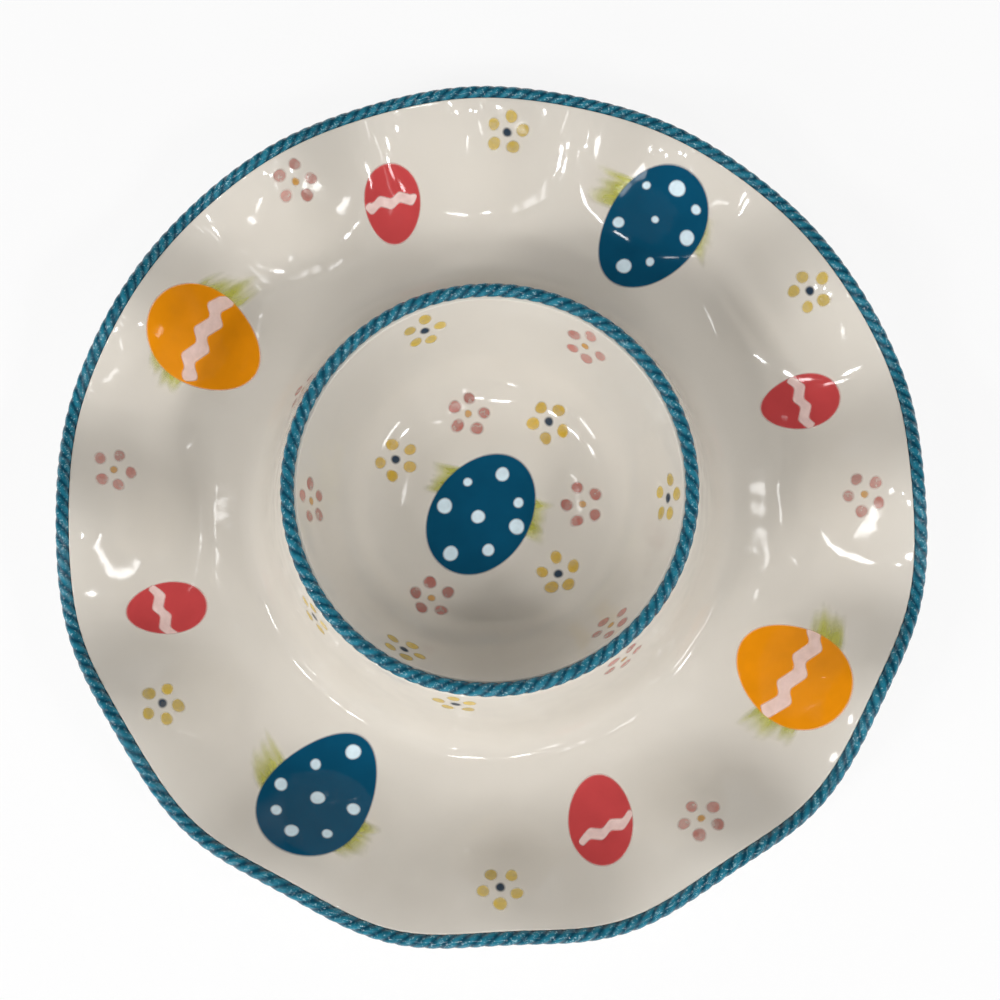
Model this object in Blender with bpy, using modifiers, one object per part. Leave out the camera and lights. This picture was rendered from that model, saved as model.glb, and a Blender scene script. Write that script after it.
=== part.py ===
"""Chip and dip platter in glazed earthenware, in metres with +Z up, standing on Z = 0.

A round platter with a ruffled rim rises at its middle into a collar. The dip bowl drops into the
well inside the collar and hangs there by its rope rim, which rests on the collar's lip. Run the
script with Blender, in the background or from the text editor.
"""

import math

import bpy
from mathutils import Vector
from mathutils.geometry import interpolate_bezier

OBJECT_NAME = "chip_and_dip_platter"

# Platter
PLATTER_DIAMETER = 0.355  # over the rope, at the ruffle's mean reach
PLATTER_DEPTH = 0.0285  # from the rope's mean centre down to the trough's floor
PLATTER_WALL = 0.0045
RIM_SLOPE = math.radians(24)  # of the wall where it meets the rope
TROUGH_FLAT = 0.008  # width of the trough's level floor, and of the foot under it
FOOT_HEIGHT = 0.0045
FOOT_DRAFT = 0.0012  # how much narrower the foot is at its end, on each side

# Ruffle of the platter's wall, which stands farther out where it dips
RUFFLE_COUNT = 12
RUFFLE_RISE = 0.0065
RUFFLE_REACH = 0.0028
RUFFLE_TURN = math.radians(17.5)  # angle of the first dip from +X

# Collar, and the well inside it
COLLAR_LIP = 0.0026  # width of the lip that carries the bowl
COLLAR_EASE = 0.0006  # chamfer on both edges of the lip
COLLAR_SLOPE = math.radians(17)  # of the outside below the lip, from the vertical
COLLAR_SPREAD = 0.028  # how far the outside runs out from the lip to the trough
HOLLOW_WIDTH = 0.004  # top of the hollow under the collar
WELL_LIFT = 0.002  # underside of the well above the table

# Dip bowl
BOWL_DIAMETER = 0.1623  # over the rope
BOWL_DEPTH = 0.0515  # from the rope's centre down to the floor
BOWL_WALL = 0.0034
BOWL_SLOPE = math.radians(21.5)  # of the wall below the rope, from the vertical
BOWL_FLOOR = 0.060  # diameter of the level floor
BOWL_LEDGE = 0.001  # how far the wall stands in from the rope's inside
BOWL_FOOT_HEIGHT = 0.002
BOWL_FOOT_WIDTH = 0.005

# Rope rims
ROPE_DIAMETER = 0.0055
STRAND_COUNT = 3
STRAND_PITCH = 0.00575  # from one strand to the next along the rope
STRAND_GROOVE = 0.0006  # depth between two strands

# Fits
SEAT_GAP = 0.0003
WELL_CLEARANCE = 0.0006
FOOT_CLEARANCE = 0.0015  # round the bowl's foot, in the recess of the well's floor

# Facets
STEPS_PER_RUFFLE = 7
BOWL_STEPS = 48
CURVE_STEPS = 6  # along each curve of a profile on its shown side
BELOW_STEPS = 3  # and on its underside
SECTIONS_PER_STRAND = 2

# Levels, from the table up
TROUGH_FLOOR = FOOT_HEIGHT + PLATTER_WALL
RIM_HEIGHT = TROUGH_FLOOR + PLATTER_DEPTH
WELL_FLOOR = WELL_LIFT + PLATTER_WALL
BOWL_FOOT_END = WELL_FLOOR + WELL_CLEARANCE
BOWL_BASE = BOWL_FOOT_END + BOWL_FOOT_HEIGHT
BOWL_INSIDE = BOWL_BASE + BOWL_WALL
BOWL_RIM_HEIGHT = BOWL_INSIDE + BOWL_DEPTH
ROPE_RADIUS = ROPE_DIAMETER / 2
LIP_HEIGHT = BOWL_RIM_HEIGHT - ROPE_RADIUS - SEAT_GAP

# Radii, from the axis out
BOWL_FOOT_OUTER = BOWL_FLOOR / 2
RECESS = BOWL_FOOT_OUTER + FOOT_CLEARANCE
BOWL_ROPE_RADIUS = BOWL_DIAMETER / 2 - ROPE_RADIUS
BOWL_MOUTH = BOWL_ROPE_RADIUS - ROPE_RADIUS - BOWL_LEDGE
LIP_INNER = BOWL_MOUTH + (BOWL_WALL + WELL_CLEARANCE) / math.cos(BOWL_SLOPE)
LIP_OUTER = LIP_INNER + COLLAR_LIP
TROUGH_INNER = LIP_OUTER + COLLAR_SPREAD
TROUGH_OUTER = TROUGH_INNER + TROUGH_FLAT
RIM_RADIUS = PLATTER_DIAMETER / 2 - ROPE_RADIUS

# Directions in a profile, which lies in the XZ plane
OUT = Vector((1, 0, 0))
UP = Vector((0, 0, 1))
ALONG_RIM_WALL = math.cos(RIM_SLOPE) * OUT + math.sin(RIM_SLOPE) * UP
ACROSS_RIM_WALL = math.cos(RIM_SLOPE) * UP - math.sin(RIM_SLOPE) * OUT


def at(radius, height):
    return radius * OUT + height * UP


def curve_between(start, start_handle, end_handle, end, steps):
    """Points of a Bezier curve, both ends included."""
    return interpolate_bezier(start, start_handle, end_handle, end, steps + 1)


def offset_below(points, distance):
    """Points of a profile that runs outward, moved square to it to its lower side."""
    moved = []
    for index, point in enumerate(points):
        before = points[max(index - 1, 0)]
        after = points[min(index + 1, len(points) - 1)]
        along = (after - before).normalized()
        moved.append(point + distance * at(along.z, -along.x))
    return moved


def bowl_curve(steps):
    """The bowl's inside, from the edge of its level floor up to its mouth."""
    floor = at(BOWL_FLOOR / 2, BOWL_INSIDE)
    mouth = at(BOWL_MOUTH, LIP_HEIGHT)
    floor_handle = floor + 0.6 * (mouth.x - floor.x) * OUT
    mouth_handle = mouth - 0.62 * (mouth.z - floor.z) * (UP + math.tan(BOWL_SLOPE) * OUT)
    return curve_between(floor, floor_handle, mouth_handle, mouth, steps)


def collar_curve(steps):
    """The collar's outside, from its lip down to the trough's floor."""
    lip = at(LIP_OUTER, LIP_HEIGHT)
    base = at(TROUGH_INNER, TROUGH_FLOOR)
    lip_handle = lip - 0.6 * (lip.z - base.z) * (UP - math.tan(COLLAR_SLOPE) * OUT)
    base_handle = base - 0.55 * COLLAR_SPREAD * OUT
    return curve_between(lip, lip_handle, base_handle, base, steps)


def wall_end():
    """The middle of the platter wall's end face, which the rope sits on, before the ruffle."""
    return at(RIM_RADIUS, RIM_HEIGHT) - (ROPE_RADIUS + SEAT_GAP) * ALONG_RIM_WALL


def wall_curve(steps):
    """The platter's wall, from the trough's floor up to the rope, before the ruffle."""
    floor = at(TROUGH_OUTER, TROUGH_FLOOR)
    rim = wall_end() + PLATTER_WALL / 2 * ACROSS_RIM_WALL
    span = rim.x - floor.x
    floor_handle = floor + 0.42 * span * OUT
    rim_handle = rim - 0.38 * span * ALONG_RIM_WALL
    return curve_between(floor, floor_handle, rim_handle, rim, steps)


def ruffled(point, angle):
    """A profile point of the platter, turned to an angle and moved by the ruffle of its wall."""
    start = TROUGH_OUTER
    end = (wall_end() + PLATTER_WALL / 2 * ACROSS_RIM_WALL).x
    grown = min(max((point.x - start) / (end - start), 0), 1)
    swell = grown * grown * (3 - 2 * grown)
    wave = swell * math.cos(RUFFLE_COUNT * (angle - RUFFLE_TURN))
    radius = point.x + RUFFLE_REACH * wave
    height = point.z - RUFFLE_RISE * wave
    return Vector((radius * math.cos(angle), radius * math.sin(angle), height))


def well_profile(steps):
    """The well, from its foot recess up to the inner edge of the lip."""
    clear = BOWL_WALL + WELL_CLEARANCE
    curve = offset_below(bowl_curve(steps), clear)
    wall = [point for point in curve[:-1] if point.x > RECESS + FOOT_CLEARANCE]
    step = at(RECESS + FOOT_CLEARANCE / 2, BOWL_INSIDE - clear)
    return [at(RECESS, WELL_FLOOR), step] + wall + [at(LIP_INNER, LIP_HEIGHT - COLLAR_EASE)]


def hollow_profile():
    """The hollow under the collar, from its outer foot over its top to its inner one."""
    inner_slope = math.tan(BOWL_SLOPE)
    outer_slope = math.tan(COLLAR_SLOPE)
    inner_wall = PLATTER_WALL / math.cos(BOWL_SLOPE)
    outer_wall = PLATTER_WALL / math.cos(COLLAR_SLOPE)
    spread = inner_wall + outer_wall + HOLLOW_WIDTH - COLLAR_LIP
    drop = spread / (inner_slope + outer_slope)
    top = LIP_HEIGHT - drop
    inner_top = at(LIP_INNER - drop * inner_slope + inner_wall, top)
    outer_top = at(LIP_OUTER + drop * outer_slope - outer_wall, top)
    outer = offset_below(collar_curve(BELOW_STEPS), PLATTER_WALL)
    inner = offset_below(well_profile(BELOW_STEPS), PLATTER_WALL)
    below_top = top - HOLLOW_WIDTH
    outer = [point for point in outer if point.z < below_top]
    inner = [point for point in inner[1:] if point.z < below_top]
    return outer[::-1] + [outer_top, inner_top] + inner[::-1]


def platter_profile():
    """From the middle of the well over collar and trough to the rim, and back along the underside."""
    lip = [at(LIP_INNER + COLLAR_EASE, LIP_HEIGHT), at(LIP_OUTER - COLLAR_EASE, LIP_HEIGHT)]
    eased = at(LIP_OUTER + COLLAR_EASE * math.tan(COLLAR_SLOPE), LIP_HEIGHT - COLLAR_EASE)
    collar = [eased] + collar_curve(CURVE_STEPS)[1:]
    top = [at(0, WELL_FLOOR)] + well_profile(CURVE_STEPS) + lip + collar + wall_curve(CURVE_STEPS)
    wall_below = offset_below(wall_curve(BELOW_STEPS), PLATTER_WALL)
    rim_below = wall_end() - PLATTER_WALL / 2 * ACROSS_RIM_WALL
    foot = [at(TROUGH_OUTER - FOOT_DRAFT, 0), at(TROUGH_INNER + FOOT_DRAFT, 0)]
    well_below = [at(RECESS, WELL_LIFT), at(0, WELL_LIFT)]
    return top + [rim_below] + wall_below[-2::-1] + foot + hollow_profile() + well_below


def bowl_profile():
    """From the middle of the bowl's floor up to its mouth, and back along the outside."""
    inside = bowl_curve(CURVE_STEPS)
    outside = offset_below(inside, BOWL_WALL)
    rim = at(BOWL_MOUTH + BOWL_WALL / math.cos(BOWL_SLOPE), LIP_HEIGHT)
    foot_inner = BOWL_FOOT_OUTER - BOWL_FOOT_WIDTH
    foot = [at(BOWL_FOOT_OUTER, BOWL_FOOT_END), at(foot_inner, BOWL_FOOT_END)]
    base = [at(foot_inner, BOWL_BASE), at(0, BOWL_BASE)]
    return [at(0, BOWL_INSIDE)] + inside + [rim] + outside[-2::-1] + foot + base


def platter_rope_path():
    """Centre line of the platter's rope as a function of the turn, straight along each facet."""
    facets = RUFFLE_COUNT * STEPS_PER_RUFFLE
    corners = [ruffled(at(RIM_RADIUS, RIM_HEIGHT), math.tau * k / facets) for k in range(facets)]

    def path(turn):
        facet = int(turn * facets)
        return corners[facet].lerp(corners[(facet + 1) % facets], turn * facets - facet)

    return path


def bowl_rope_path():
    """Centre line of the bowl's rope as a function of the turn."""

    def path(turn):
        angle = math.tau * turn
        return Vector((math.cos(angle), math.sin(angle), 0)) * BOWL_ROPE_RADIUS

    return path


def new_object(name, data, material, collection):
    obj = bpy.data.objects.new(name, data)
    data.materials.append(material)
    collection.objects.link(obj)
    return obj


def turned(name, profile, steps, material, collection):
    """An object whose profile, from the top of the axis out and back below, is turned round Z."""
    mesh = bpy.data.meshes.new(name)
    edges = [(index, index + 1) for index in range(len(profile) - 1)]
    mesh.from_pydata(profile, edges, [])
    obj = new_object(name, mesh, material, collection)
    screw = obj.modifiers.new("Turn", "SCREW")
    screw.axis = "Z"
    screw.angle = math.tau
    screw.steps = steps
    screw.render_steps = steps
    screw.use_merge_vertices = True
    screw.merge_threshold = 0.00001
    return obj


def ruffle_wall(obj):
    """Applies the object's turn, and moves each point of its mesh by the ruffle."""
    bpy.context.view_layer.update()
    graph = bpy.context.evaluated_depsgraph_get()
    mesh = bpy.data.meshes.new_from_object(obj.evaluated_get(graph))
    obj.modifiers.clear()
    obj.data = mesh
    for vertex in mesh.vertices:
        radius = math.hypot(vertex.co.x, vertex.co.y)
        angle = math.atan2(vertex.co.y, vertex.co.x)
        vertex.co = ruffled(at(radius, vertex.co.z), angle)


def strand_section(collection):
    """The rope's section, with one lobe for each strand, as a guide to sweep."""
    curve = bpy.data.curves.new("rope_section", "CURVE")
    spline = curve.splines.new("POLY")
    spline.use_cyclic_u = True
    sides = 2 * STRAND_COUNT
    spline.points.add(sides - 1)
    for side, point in enumerate(spline.points):
        angle = -math.tau * side / sides
        radius = ROPE_RADIUS - STRAND_GROOVE * (side % 2)
        point.co = (radius * math.cos(angle), radius * math.sin(angle), 0, 1)
    guide = bpy.data.objects.new("rope_section", curve)
    guide.hide_render = True
    guide.display_type = "WIRE"
    collection.objects.link(guide)
    return guide


def rope(name, path, length, section, material, collection):
    """A closed rope of whole turns, swept along a path, its strands leaning inward on top."""
    turns = round(length / (STRAND_PITCH * STRAND_COUNT))
    count = turns * STRAND_COUNT * SECTIONS_PER_STRAND
    curve = bpy.data.curves.new(name, "CURVE")
    curve.dimensions = "3D"
    curve.twist_mode = "Z_UP"
    curve.bevel_mode = "OBJECT"
    curve.bevel_object = section
    spline = curve.splines.new("POLY")
    spline.use_cyclic_u = True
    spline.points.add(count - 1)
    for index, point in enumerate(spline.points):
        point.co = (*path(index / count), 1)
        point.tilt = math.pi / 2 - math.tau * turns * index / count
    return new_object(name, curve, material, collection)


def glaze(name, colour):
    """A glossy glaze of one linear colour."""
    material = bpy.data.materials.new(name)
    material.use_nodes = True
    shader = material.node_tree.nodes["Principled BSDF"]
    shader.inputs["Base Color"].default_value = (*colour, 1)
    shader.inputs["Roughness"].default_value = 0.12
    shader.inputs["Metallic"].default_value = 0
    return material


def new_collection(name):
    collection = bpy.data.collections.new(name)
    bpy.context.scene.collection.children.link(collection)
    return collection


def build():
    for obj in list(bpy.data.objects):
        bpy.data.objects.remove(obj)
    parts = new_collection(OBJECT_NAME)
    guides = new_collection("guides")
    cream = glaze("cream glaze", (0.78, 0.73, 0.65))
    teal = glaze("teal glaze", (0.012, 0.16, 0.24))
    section = strand_section(guides)

    platter_steps = RUFFLE_COUNT * STEPS_PER_RUFFLE
    platter = turned("platter_body", platter_profile(), platter_steps, cream, parts)
    ruffle_wall(platter)
    platter_length = math.tau * RIM_RADIUS
    platter_rope = rope("platter_rope_rim", platter_rope_path(), platter_length, section, teal, parts)
    platter_rope.parent = platter

    lift = bpy.data.objects.new("dip_bowl_lift", None)
    lift.location = (0, 0, BOWL_RIM_HEIGHT)
    parts.objects.link(lift)
    bowl = turned("dip_bowl", bowl_profile(), BOWL_STEPS, cream, parts)
    bowl.parent = lift
    bowl.location = (0, 0, -BOWL_RIM_HEIGHT)
    bowl_length = math.tau * BOWL_ROPE_RADIUS
    bowl_rope = rope("dip_bowl_rope_rim", bowl_rope_path(), bowl_length, section, teal, parts)
    bowl_rope.parent = lift


build()
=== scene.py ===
"""Looks of a chip and dip platter in glazed earthenware, laid out as a Blender add-on.

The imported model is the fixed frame. Each operator makes one piece, or one group of like pieces, on
the frame's bodies, in metres and in its axes. main() runs them in order.
"""

import math

import bpy
import numpy as np
from bpy.props import FloatProperty, FloatVectorProperty, PointerProperty
from mathutils import Matrix, Vector


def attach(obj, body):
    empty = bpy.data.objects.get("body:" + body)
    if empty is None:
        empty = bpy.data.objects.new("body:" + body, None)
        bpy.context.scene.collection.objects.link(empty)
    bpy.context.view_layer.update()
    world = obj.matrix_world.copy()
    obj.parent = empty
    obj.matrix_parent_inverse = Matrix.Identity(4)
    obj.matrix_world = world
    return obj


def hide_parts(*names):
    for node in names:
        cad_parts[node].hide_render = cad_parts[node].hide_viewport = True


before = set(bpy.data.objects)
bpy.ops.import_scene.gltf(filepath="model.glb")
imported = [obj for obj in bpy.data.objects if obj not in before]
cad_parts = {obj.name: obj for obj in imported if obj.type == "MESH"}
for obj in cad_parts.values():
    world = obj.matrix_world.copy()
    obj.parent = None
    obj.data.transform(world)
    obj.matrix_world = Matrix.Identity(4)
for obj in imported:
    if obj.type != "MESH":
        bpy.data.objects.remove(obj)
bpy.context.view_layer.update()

bl_info = {
    "name": "Chip and Dip Platter Looks",
    "version": (1, 0, 0),
    "blender": (4, 5, 0),
    "location": "3D View > Sidebar > Platter",
    "description": "Glazes, rope rims and painted decoration of a chip and dip platter",
    "category": "Object",
}

MM = 0.001

# Shape of the dish, as in the model's own source
PLATTER_WALL = 0.0045
RIM_RADIUS, RIM_HEIGHT = 0.17475, 0.0375
RIM_SLOPE = math.radians(24)
FOOT_DRAFT = 0.0012
RUFFLE_COUNT = 12
RUFFLE_RISE, RUFFLE_REACH = 0.0065, 0.0028
RUFFLE_TURN = math.radians(17.5)
TROUGH_FLOOR, TROUGH_FLAT = 0.009, 0.008
WELL_FLOOR, WELL_LIFT, HOLLOW_WIDTH = 0.0065, 0.002, 0.004
WELL_CLEARANCE, FOOT_CLEARANCE = 0.0006, 0.0015
BOWL_WALL = 0.0034
BOWL_SLOPE = math.radians(21.5)
BOWL_FLOOR_RADIUS, BOWL_INSIDE, BOWL_MOUTH = 0.030, 0.0125, 0.07465
BOWL_FOOT_END, BOWL_BASE, BOWL_FOOT_WIDTH = 0.0071, 0.0091, 0.005
BOWL_ROPE_RADIUS, BOWL_RIM_HEIGHT = 0.0784, 0.064
ROPE_RADIUS, SEAT_GAP = 0.00275, 0.0003
STRAND_COUNT, PLATTER_ROPE_TURNS, BOWL_ROPE_TURNS = 3, 64, 29
COLLAR_SLOPE = math.radians(17)
COLLAR_LIP, COLLAR_SPREAD = 0.0026, 0.028
LIP_HEIGHT = BOWL_RIM_HEIGHT - ROPE_RADIUS - SEAT_GAP
LIP_INNER = BOWL_MOUTH + (BOWL_WALL + WELL_CLEARANCE) / math.cos(BOWL_SLOPE)
LIP_OUTER = LIP_INNER + COLLAR_LIP
TROUGH_INNER = LIP_OUTER + COLLAR_SPREAD
TROUGH_OUTER = TROUGH_INNER + TROUGH_FLAT
RECESS = BOWL_FLOOR_RADIUS + FOOT_CLEARANCE

# How far the handles of the profiles' curves reach, as shares of a curve's width or height
BOWL_FLOOR_HANDLE, BOWL_MOUTH_HANDLE = 0.6, 0.62
COLLAR_LIP_HANDLE, COLLAR_FOOT_HANDLE = 0.6, 0.55
WALL_FOOT_HANDLE, WALL_RIM_HANDLE = 0.42, 0.38

# What the looks add to that shape: rounded edges, wall ends that reach into their rope, bare feet
EDGE_ROUNDING = 0.0009
SMOOTH_BEND = math.radians(16)  # a profile that bends less than this has no edge there
PLATTER_TUCK, BOWL_TUCK = 0.0009, 0.0013
BOWL_EDGE = (0.0004, 0.0034)  # both sides of the bowl's edge, out from its mouth
BARE_FOOT = 0.0004

# Facets
PLATTER_STEPS, BOWL_STEPS = 32 * RUFFLE_COUNT, 192
PAINTED_STEPS = 200  # along each curve that paint is laid on
SECTIONS_PER_STRAND, ROPE_FACETS = 8, 18
EGG_STEPS, DOT_STEPS, BAND_STEPS, BLADE_STEPS = 72, 20, 120, 8

# Directions in a profile, which lies in the plane of radius and height
OUT = np.array((1.0, 0.0))
UP = np.array((0.0, 1.0))
ALONG_RIM_WALL = math.cos(RIM_SLOPE) * OUT + math.sin(RIM_SLOPE) * UP
ACROSS_RIM_WALL = math.cos(RIM_SLOPE) * UP - math.sin(RIM_SLOPE) * OUT
RIM_END = np.array((RIM_RADIUS, RIM_HEIGHT)) - (ROPE_RADIUS + SEAT_GAP) * ALONG_RIM_WALL
RUFFLE_END = (RIM_END + PLATTER_WALL / 2 * ACROSS_RIM_WALL)[0]

# Layers of paint from the clay up, and the slots for the colours of a painted piece
WASH_LAYER, GRASS_LAYER, FLOWER_LAYER, EGG_LAYER, MARK_LAYER = 0.7, 1, 2, 3, 4
MAIN_SLOT, MARK_SLOT, DEEP_SLOT = 0, 1, 2

# Painted eggs on the platter: angle round the dish and lean in degrees; distance out from the
# collar's foot, length and width in millimetres; how much the end towards the middle narrows
BLUE_EGGS = (
    (60, 33, 59, 41, 0.11, -8.5),
    (240, 31.5, 60.5, 42.5, 0.21, -5),
)
ORANGE_EGGS = (
    (150, 35.5, 53.5, 41.5, 0.17, -2),
    (330, 37.5, 54, 40, 0.1, -7.5),
)
RED_EGGS = (
    (18.5, 31.5, 34.5, 23, 0.14, -9),
    (108, 32.5, 35.5, 24.5, 0.1, -12.5),
    (198, 34.5, 34, 22, -0.11, -6.5),
    (289, 29.5, 38, 26.5, 0.05, -15),
)
# The egg on the bowl's floor: its middle across the dish, length and width, narrowing and lean
BOWL_EGG = (-4, -3.5, 56, 42, 0.04, -33.5)

# Dots on the blue eggs, in each egg's own millimetres with its narrower end up: place and radius
DOTS = (
    ((1, -20.5, 3.4), (-10.5, -18.5, 2), (1, -4, 1.5), (13.5, 6, 2.4), (-14.5, -6.5, 3.2),
     (0, 20.5, 3.2), (12.5, -14, 1.7), (-8, 12, 1.8)),
    ((0, 23, 3.1), (-9.5, 9.5, 2.2), (-15.5, -6.5, 2.7), (0, -2, 2.9), (-10, -17, 2.2),
     (14.5, 2.5, 2.6), (0.5, -21, 2.7), (12.5, -13.5, 2)),
    ((-2, 19, 2.9), (-12.5, 8, 1.8), (10.5, 12.5, 2.1), (-15, -6, 3.2), (-0.5, -2, 2.8),
     (15.5, 3.5, 3.2), (11, -11.5, 2.5), (-1.5, -21.5, 3.1)),
)
# Bands across the other eggs, in the same millimetres: height where it crosses the egg's axis, slope,
# one of the places where it is lowest, and both ends
ORANGE_BANDS = ((-1.2, 0.12, -0.5, -22, 19.5), (-0.6, 0.05, 2.8, -20.5, 22))
RED_BANDS = (
    (-0.4, 0.08, -2, -12, 11.5), (-1.1, 0.14, -3.2, -10.8, 12), (-2.1, 0.14, -0.6, -10.3, 12.5),
    (-4.3, 0.33, 0.4, -9.4, 13.5),
)
# Zigzag of the bands: its swing to either side and its period in metres, and the share of it that climbs
ORANGE_ZIGZAG = (0.0025, 0.0124, 0.25)
RED_ZIGZAG = (0.0013, 0.0087, 0.38)

# Grass at each large egg, the bowl's last, in the same millimetres: the row of its roots and the row of
# its tips, each from one end to the other, and its strength. Under its blades lies a fainter wash
GRASS_BLADES, GRASS_SEED = 9, 5
WASH_LENGTH, WASH_STRENGTH = 0.85, 0.55
WASH_EDGE, BLADE_EDGE = 0.004, 0.0022
GRASS = (
    ((15, -12.5, 17, -1, 35, -11, 33, 4, 1.0), (-18, -6.5, -13.5, -16, -29, -2.5, -22, -20, 0.6)),
    ((-17.5, -13, -15, -1, -32.5, -9, -38, 7, 1.0), (19, -1.5, 16.5, -15, 31, 1, 28, -18, 1.0)),
    ((-14.5, -15.5, -17, 0.5, -29, -12, -40, 6, 1.0), (10, -17, 17, -0.5, 25, -15, 30.5, 0.5, 1.0)),
    ((16, -0.5, 16, -11.5, 32.5, 9, 33, -6.5, 1.0), (-17, 2.5, -12.5, -12, -32.5, 6.5, -27, -17, 1.0)),
    ((-18, 0.5, -16, 11, -27, -5, -30, 7.5, 0.9), (13.5, 15, 19, 4, 24, 20.5, 29.5, 4, 0.9)),
)

# Flowers on the platter's wall, on the collar and in the bowl: angle round the dish, distance in
# millimetres and turn. The distance counts from the collar's foot, down from its lip, and up from the
# bowl's middle. Flowers on the bowl's floor, up to where it ends, carry more colour
PETAL_COUNT, FLOWER_SEED, BOWL_FLOOR_END = 5, 11, 60
YELLOW_FLOWERS = (
    ((33, 58.5, 58), (87.5, 57, 45), (212.5, 54, 62), (271.5, 53, 52)),
    ((-99, 11, 30), (-144, 11.5, 30)),
    ((154.5, 45.5, 14), (55.5, 44, 40), (-46, 41, 53),
     (112, 90.8, 36), (-2.5, 90.7, 60), (-118, 91.6, 6)),
)
PINK_FLOWERS = (
    ((0.5, 51.5, 23), (121.5, 58, 27), (175.5, 53.5, 24), (303, 51, 16)),
    ((-52, 9.8, 54), (149, 37.5, 54)),
    ((104, 41, 36), (0.5, 39, 15), (-122, 47.5, 51),
     (57, 90.3, 45), (-48.5, 92.2, 18), (-176.5, 91.4, 48)),
)

# Windows and lamps that show in the glaze: angle round the dish and above it in degrees, width and
# height in metres, share of full power
LAMPS = (
    (-149, 21, 0.38, 0.18, 0.28), (-163, 38, 0.18, 0.14, 0.16), (-27, 25, 0.50, 0.12, 0.26),
    (-149, 48, 0.12, 0.07, 0.14), (-132, 47, 0.12, 0.08, 0.20), (-100, 28, 0.08, 0.08, 0.04),
    (-98, 57, 0.13, 0.09, 0.17), (-82, 54, 0.13, 0.09, 0.17), (-31, 43, 0.12, 0.08, 0.20),
    (148, 75, 0.07, 0.14, 0.03), (27, 74, 0.07, 0.14, 0.03), (-75, 38, 0.06, 0.30, 0.05),
    (-66, 60, 0.06, 0.35, 0.05), (-46, 67, 0.06, 0.25, 0.04),
)
# Soft light, which only brightens the dish, from sources of one size: both angles and share of power
SOFT_LIGHTS = (
    (-145, 40, 0.70), (-145, 28, 0.30), (-130, 28, 0.15), (-35, 40, 0.45), (-20, 40, 0.30),
    (-45, 80, 0.35), (60, 20, 0.10), (90, 35, 0.10), (120, 20, 0.15),
)
SOFT_LIGHT_SIZE = (0.35, 0.20)
LAMP_DISTANCE = 1.8
LAMP_AIM = Vector((0, 0, 0.03))
FLOOR_RADIUS, FLOOR_STEPS = 6.0, 96


def linear(hex_colour):
    """A linear colour from an sRGB one written as rrggbb."""
    shares = [int(hex_colour[at : at + 2], 16) / 255 for at in (0, 2, 4)]
    return [
        share / 12.92 if share <= 0.04045 else ((share + 0.055) / 1.055) ** 2.4 for share in shares
    ]


def colour_property(name, description, hex_colour):
    return FloatVectorProperty(
        name=name, description=description, subtype="COLOR", size=3, min=0, max=1,
        default=linear(hex_colour),
    )


def length_property(name, description, default):
    return FloatProperty(
        name=name, description=description, unit="LENGTH", precision=5, min=0, default=default
    )


class PlatterSizes(bpy.types.PropertyGroup):
    """Sizes of what is laid on the dish."""

    strand_offset: length_property("Strand offset", "From the rope's middle to a strand's", 0.00065)
    petal: length_property("Petal", "Diameter of a painted petal", 0.0052)
    petal_ring: length_property("Petal ring", "Radius of the ring that the petals stand on", 0.0070)
    navy_centre: length_property("Navy centre", "Diameter of a yellow flower's middle", 0.0038)
    ochre_centre: length_property("Ochre centre", "Diameter of a pink flower's middle", 0.0032)
    soft_edge: length_property("Soft edge", "Width over which paint bleeds out", 0.0010)
    paint_layer: length_property("Paint layer", "Thickness of one coat of paint", 0.00006)
    wide_band: length_property("Wide band", "Width of the band on a large egg", 0.0070)
    narrow_band: length_property("Narrow band", "Width of the band on a small egg", 0.0047)


class PlatterColours(bpy.types.PropertyGroup):
    """Colours of the glazes and the paints under them."""

    cream: colour_property("Cream", "Cream glaze where it is thick", "DDD7CD")
    cream_warm: colour_property("Warm cream", "Cream glaze where the clay shows through", "D7D0C5")
    # The two teals part the rope's grooves from its crowns: glaze pooling, with painted shade in the
    # grooves and painted light on the crowns.
    teal: colour_property("Teal", "Teal glaze in the rope's grooves", "084358")
    teal_crown: colour_property("Thin teal", "Teal glaze on the rope's crowns", "24798F")
    # Pale specks on the rope's crowns: painted glints, where the glaze is also drawn off the fibres.
    teal_speck: colour_property("Teal specks", "Glaze drawn off the rope's fibres", "86B4BF")
    clay: colour_property("Clay", "Bare clay of the foot rings", "D9C4A6")
    blue: colour_property("Blue", "Underglaze of the blue eggs", "0A4B69")
    dot: colour_property("Dot", "Dots on the blue eggs", "DCEEF6")
    orange: colour_property("Orange", "Underglaze of the orange eggs", "EA900E")
    red: colour_property("Red", "Underglaze of the red eggs", "C24748")
    band: colour_property("Band", "Bands on the orange and red eggs", "E9CFC8")
    yellow: colour_property("Yellow", "Petals of the yellow flowers", "C6A946")
    yellow_deep: colour_property("Deep yellow", "Yellow petals on the bowl's floor", "C8A43C")
    pink: colour_property("Pink", "Petals of the pink flowers", "B2756B")
    pink_deep: colour_property("Deep pink", "Pink petals on the bowl's floor", "A4594F")
    navy: colour_property("Navy", "Middles of the yellow flowers", "173045")
    ochre: colour_property("Ochre", "Middles of the pink flowers", "BE8D46")
    grass: colour_property("Grass", "Brushed grass at the eggs", "AFAE49")


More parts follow.
